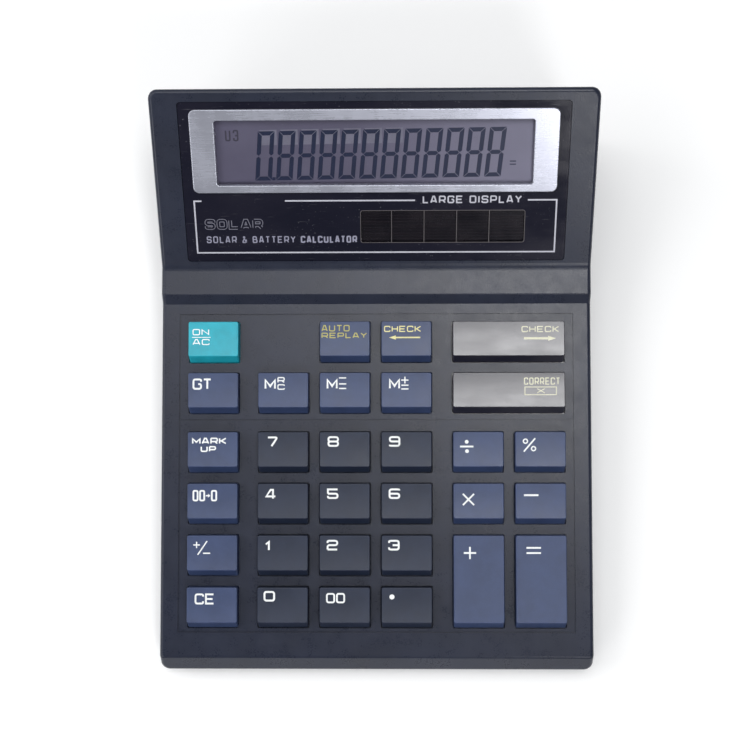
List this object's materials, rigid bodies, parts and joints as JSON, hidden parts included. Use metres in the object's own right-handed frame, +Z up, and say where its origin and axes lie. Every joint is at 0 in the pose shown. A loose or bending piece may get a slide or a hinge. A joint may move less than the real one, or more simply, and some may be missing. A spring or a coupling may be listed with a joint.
{
  "type": "desk calculator",
  "caption": "Desk calculator with a sprung keypad, a raised sloping head holding a framed LCD and a solar cell, and a sliding battery door.",
  "frame": {"origin": "centre of the footprint, on the surface that the rubber feet stand on", "axes": "+Z up, +Y from the user towards the display head, +X to the user's right"},
  "size_m": [0.152, 0.1954, 0.06],
  "materials": {
    "case_plastic": "fine-textured charcoal moulding",
    "number_key": "satin charcoal key",
    "function_key": "satin slate blue key",
    "clear_key": "satin teal key",
    "wide_key": "polished black key",
    "panel_black": "polished near-black panel",
    "bezel_silver": "satin silver",
    "clear_window": "clear acrylic",
    "lcd_film": "polarising film",
    "lcd_glass": "display glass",
    "lcd_reflector": "grey reflector foil",
    "holder_plastic": "white moulding",
    "ribbon_film": "flexible printed film",
    "solar_dark": "amorphous solar cell on glass",
    "board_green": "solder mask green",
    "blob_epoxy": "black epoxy",
    "component_dark": "component bodies",
    "mat_rubber": "silicone rubber",
    "pill_carbon": "carbon rubber",
    "battery_can": "printed sleeve",
    "contact_metal": "nickel plated spring steel",
    "lead_plastic": "insulated wire",
    "screw_steel": "zinc plated",
    "foot_rubber": "matte rubber"
  },
  "bodies": {
    "case": {"battery": "battery_can", "battery_leads": "lead_plastic", "board_components": "component_dark", "board_screws": "screw_steel", "bottom_case": "case_plastic", "case_screws": "screw_steel", "contact_pills": "pill_carbon", "controller_blob": "blob_epoxy", "display_bezel": "bezel_silver", "display_panel": "panel_black", "display_window": "clear_window", "key_mat": "mat_rubber", "lcd_front_film": "lcd_film", "lcd_front_glass": "lcd_glass", "lcd_holder": "holder_plastic", "lcd_rear_glass": "lcd_glass", "lcd_reflector": "lcd_reflector", "lcd_ribbon": "ribbon_film", "lcd_screws": "screw_steel", "main_board": "board_green", "minus_spring": "contact_metal", "plus_contact": "contact_metal", "rubber_feet": "foot_rubber", "solar_cell": "solar_dark", "solar_leads": "lead_plastic", "solar_window": "clear_window", "upper_case": "case_plastic"},
    "battery_door": {"battery_door": "case_plastic"},
    "key_auto_replay": {"key_auto_replay": "function_key"},
    "key_check_back": {"key_check_back": "function_key"},
    "key_check_forward": {"key_check_forward": "wide_key"},
    "key_clear_entry": {"key_clear_entry": "function_key"},
    "key_correct": {"key_correct": "wide_key"},
    "key_divide": {"key_divide": "function_key"},
    "key_double_zero": {"key_double_zero": "number_key"},
    "key_eight": {"key_eight": "number_key"},
    "key_equals": {"key_equals": "function_key"},
    "key_five": {"key_five": "number_key"},
    "key_four": {"key_four": "number_key"},
    "key_grand_total": {"key_grand_total": "function_key"},
    "key_mark_up": {"key_mark_up": "function_key"},
    "key_memory_minus": {"key_memory_minus": "function_key"},
    "key_memory_plus": {"key_memory_plus": "function_key"},
    "key_memory_recall": {"key_memory_recall": "function_key"},
    "key_minus": {"key_minus": "function_key"},
    "key_multiply": {"key_multiply": "function_key"},
    "key_nine": {"key_nine": "number_key"},
    "key_on_ac": {"key_on_ac": "clear_key"},
    "key_one": {"key_one": "number_key"},
    "key_percent": {"key_percent": "function_key"},
    "key_plus": {"key_plus": "function_key"},
    "key_point": {"key_point": "number_key"},
    "key_seven": {"key_seven": "number_key"},
    "key_shift_digit": {"key_shift_digit": "function_key"},
    "key_sign": {"key_sign": "function_key"},
    "key_six": {"key_six": "number_key"},
    "key_three": {"key_three": "number_key"},
    "key_two": {"key_two": "number_key"},
    "key_zero": {"key_zero": "number_key"}
  },
  "joints": [
    {"name": "auto_replay_press", "type": "slide", "parent": "case", "child": "key_auto_replay", "axis": [0, -0.061, 0.9981], "range_m": [-0.002, 0], "stiffness_N_per_m": 250, "springref_m": 0.0015, "deforming": ["key_mat"]},
    {"name": "check_back_press", "type": "slide", "parent": "case", "child": "key_check_back", "axis": [0, -0.061, 0.9981], "range_m": [-0.002, 0], "stiffness_N_per_m": 250, "springref_m": 0.0015},
    {"name": "check_forward_press", "type": "slide", "parent": "case", "child": "key_check_forward", "axis": [0, -0.061, 0.9981], "range_m": [-0.002, 0], "stiffness_N_per_m": 250, "springref_m": 0.0015},
    {"name": "clear_entry_press", "type": "slide", "parent": "case", "child": "key_clear_entry", "axis": [0, -0.061, 0.9981], "range_m": [-0.002, 0], "stiffness_N_per_m": 250, "springref_m": 0.0015},
    {"name": "correct_press", "type": "slide", "parent": "case", "child": "key_correct", "axis": [0, -0.061, 0.9981], "range_m": [-0.002, 0], "stiffness_N_per_m": 250, "springref_m": 0.0015},
    {"name": "divide_press", "type": "slide", "parent": "case", "child": "key_divide", "axis": [0, -0.061, 0.9981], "range_m": [-0.002, 0], "stiffness_N_per_m": 250, "springref_m": 0.0015},
    {"name": "double_zero_press", "type": "slide", "parent": "case", "child": "key_double_zero", "axis": [0, -0.061, 0.9981], "range_m": [-0.002, 0], "stiffness_N_per_m": 250, "springref_m": 0.0015},
    {"name": "eight_press", "type": "slide", "parent": "case", "child": "key_eight", "axis": [0, -0.061, 0.9981], "range_m": [-0.002, 0], "stiffness_N_per_m": 250, "springref_m": 0.0015},
    {"name": "equals_press", "type": "slide", "parent": "case", "child": "key_equals", "axis": [0, -0.061, 0.9981], "range_m": [-0.002, 0], "stiffness_N_per_m": 250, "springref_m": 0.0015},
    {"name": "five_press", "type": "slide", "parent": "case", "child": "key_five", "axis": [0, -0.061, 0.9981], "range_m": [-0.002, 0], "stiffness_N_per_m": 250, "springref_m": 0.0015},
    {"name": "four_press", "type": "slide", "parent": "case", "child": "key_four", "axis": [0, -0.061, 0.9981], "range_m": [-0.002, 0], "stiffness_N_per_m": 250, "springref_m": 0.0015},
    {"name": "grand_total_press", "type": "slide", "parent": "case", "child": "key_grand_total", "axis": [0, -0.061, 0.9981], "range_m": [-0.002, 0], "stiffness_N_per_m": 250, "springref_m": 0.0015},
    {"name": "mark_up_press", "type": "slide", "parent": "case", "child": "key_mark_up", "axis": [0, -0.061, 0.9981], "range_m": [-0.002, 0], "stiffness_N_per_m": 250, "springref_m": 0.0015},
    {"name": "memory_minus_press", "type": "slide", "parent": "case", "child": "key_memory_minus", "axis": [0, -0.061, 0.9981], "range_m": [-0.002, 0], "stiffness_N_per_m": 250, "springref_m": 0.0015},
    {"name": "memory_plus_press", "type": "slide", "parent": "case", "child": "key_memory_plus", "axis": [0, -0.061, 0.9981], "range_m": [-0.002, 0], "stiffness_N_per_m": 250, "springref_m": 0.0015},
    {"name": "memory_recall_press", "type": "slide", "parent": "case", "child": "key_memory_recall", "axis": [0, -0.061, 0.9981], "range_m": [-0.002, 0], "stiffness_N_per_m": 250, "springref_m": 0.0015},
    {"name": "minus_press", "type": "slide", "parent": "case", "child": "key_minus", "axis": [0, -0.061, 0.9981], "range_m": [-0.002, 0], "stiffness_N_per_m": 250, "springref_m": 0.0015},
    {"name": "multiply_press", "type": "slide", "parent": "case", "child": "key_multiply", "axis": [0, -0.061, 0.9981], "range_m": [-0.002, 0], "stiffness_N_per_m": 250, "springref_m": 0.0015},
    {"name": "nine_press", "type": "slide", "parent": "case", "child": "key_nine", "axis": [0, -0.061, 0.9981], "range_m": [-0.002, 0], "stiffness_N_per_m": 250, "springref_m": 0.0015},
    {"name": "on_ac_press", "type": "slide", "parent": "case", "child": "key_on_ac", "axis": [0, -0.061, 0.9981], "range_m": [-0.002, 0], "stiffness_N_per_m": 250, "springref_m": 0.0015},
    {"name": "one_press", "type": "slide", "parent": "case", "child": "key_one", "axis": [0, -0.061, 0.9981], "range_m": [-0.002, 0], "stiffness_N_per_m": 250, "springref_m": 0.0015},
    {"name": "percent_press", "type": "slide", "parent": "case", "child": "key_percent", "axis": [0, -0.061, 0.9981], "range_m": [-0.002, 0], "stiffness_N_per_m": 250, "springref_m": 0.0015},
    {"name": "plus_press", "type": "slide", "parent": "case", "child": "key_plus", "axis": [0, -0.061, 0.9981], "range_m": [-0.002, 0], "stiffness_N_per_m": 250, "springref_m": 0.0015},
    {"name": "point_press", "type": "slide", "parent": "case", "child": "key_point", "axis": [0, -0.061, 0.9981], "range_m": [-0.002, 0], "stiffness_N_per_m": 250, "springref_m": 0.0015},
    {"name": "seven_press", "type": "slide", "parent": "case", "child": "key_seven", "axis": [0, -0.061, 0.9981], "range_m": [-0.002, 0], "stiffness_N_per_m": 250, "springref_m": 0.0015},
    {"name": "shift_digit_press", "type": "slide", "parent": "case", "child": "key_shift_digit", "axis": [0, -0.061, 0.9981], "range_m": [-0.002, 0], "stiffness_N_per_m": 250, "springref_m": 0.0015},
    {"name": "sign_press", "type": "slide", "parent": "case", "child": "key_sign", "axis": [0, -0.061, 0.9981], "range_m": [-0.002, 0], "stiffness_N_per_m": 250, "springref_m": 0.0015},
    {"name": "six_press", "type": "slide", "parent": "case", "child": "key_six", "axis": [0, -0.061, 0.9981], "range_m": [-0.002, 0], "stiffness_N_per_m": 250, "springref_m": 0.0015},
    {"name": "three_press", "type": "slide", "parent": "case", "child": "key_three", "axis": [0, -0.061, 0.9981], "range_m": [-0.002, 0], "stiffness_N_per_m": 250, "springref_m": 0.0015},
    {"name": "two_press", "type": "slide", "parent": "case", "child": "key_two", "axis": [0, -0.061, 0.9981], "range_m": [-0.002, 0], "stiffness_N_per_m": 250, "springref_m": 0.0015},
    {"name": "zero_press", "type": "slide", "parent": "case", "child": "key_zero", "axis": [0, -0.061, 0.9981], "range_m": [-0.002, 0], "stiffness_N_per_m": 250, "springref_m": 0.0015},
    {"name": "battery_door_slide", "type": "slide", "parent": "case", "child": "battery_door", "axis": [0, 1, 0], "range_m": [0, 0.03]}
  ]
}
